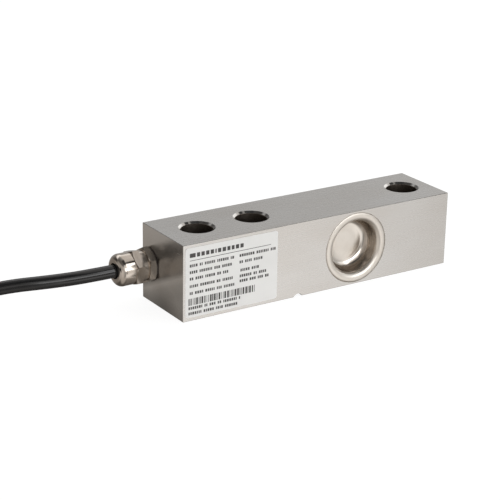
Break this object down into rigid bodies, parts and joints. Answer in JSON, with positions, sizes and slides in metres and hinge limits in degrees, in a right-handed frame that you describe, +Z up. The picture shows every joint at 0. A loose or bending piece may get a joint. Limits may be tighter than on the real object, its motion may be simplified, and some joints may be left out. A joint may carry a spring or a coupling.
{
  "type": "shear beam load cell",
  "caption": "Square steel shear beam load cell with bolt holes, welded gauge covers in both sides, a metal cable gland at one end and a tied signal cable with bare leads.",
  "frame": {"origin": "on the underside, midway between the two mounting holes", "axes": "+X along the beam from the cable end to the load hole, -Y the labelled side, +Z up"},
  "size_m": [0.3389, 0.0502, 0.034],
  "materials": {
    "ground_steel": "fine ground",
    "drawn_stainless": "drawn, bright satin",
    "plated_gland": "bright plated",
    "gauge_foil": "amber foil",
    "board": "green board",
    "resistor_body": "matt",
    "enamelled_wire": "enamelled copper",
    "label": "matt film",
    "seal_rubber": "matt",
    "claw_plastic": "moulded",
    "cable_jacket": "satin",
    "tie_strap": "woven",
    "shrink_sleeve": "satin",
    "tinned_copper": "tinned",
    "core_red": "satin",
    "core_black": "satin",
    "core_green": "satin",
    "core_white": "satin",
    "shield_sleeve": "satin"
  },
  "bodies": {
    "root": {"load_beam": "ground_steel", "gauge_cover_front": "drawn_stainless", "gauge_cover_rear": "drawn_stainless", "gland_body": "plated_gland", "gland_cap_nut": "plated_gland", "strain_gauge_front": "gauge_foil", "strain_gauge_rear": "gauge_foil", "terminal_board": "board", "compensation_resistors": "resistor_body", "bridge_wires_front": "enamelled_wire", "bridge_wires_rear": "enamelled_wire", "nameplate_label": "label", "gland_base_ring": "seal_rubber", "gland_seal": "seal_rubber", "gland_claw": "claw_plastic", "signal_cable": "cable_jacket", "cable_hank": "cable_jacket", "cable_tail": "cable_jacket", "hank_tie_left": "tie_strap", "hank_tie_right": "tie_strap", "cable_end_sleeve": "shrink_sleeve", "lead_tips": "tinned_copper", "core_red": "core_red", "core_black": "core_black", "core_green": "core_green", "core_white": "core_white", "lead_red": "core_red", "lead_black": "core_black", "lead_green": "core_green", "lead_white": "core_white", "lead_shield": "shield_sleeve"}
  },
  "joints": []
}
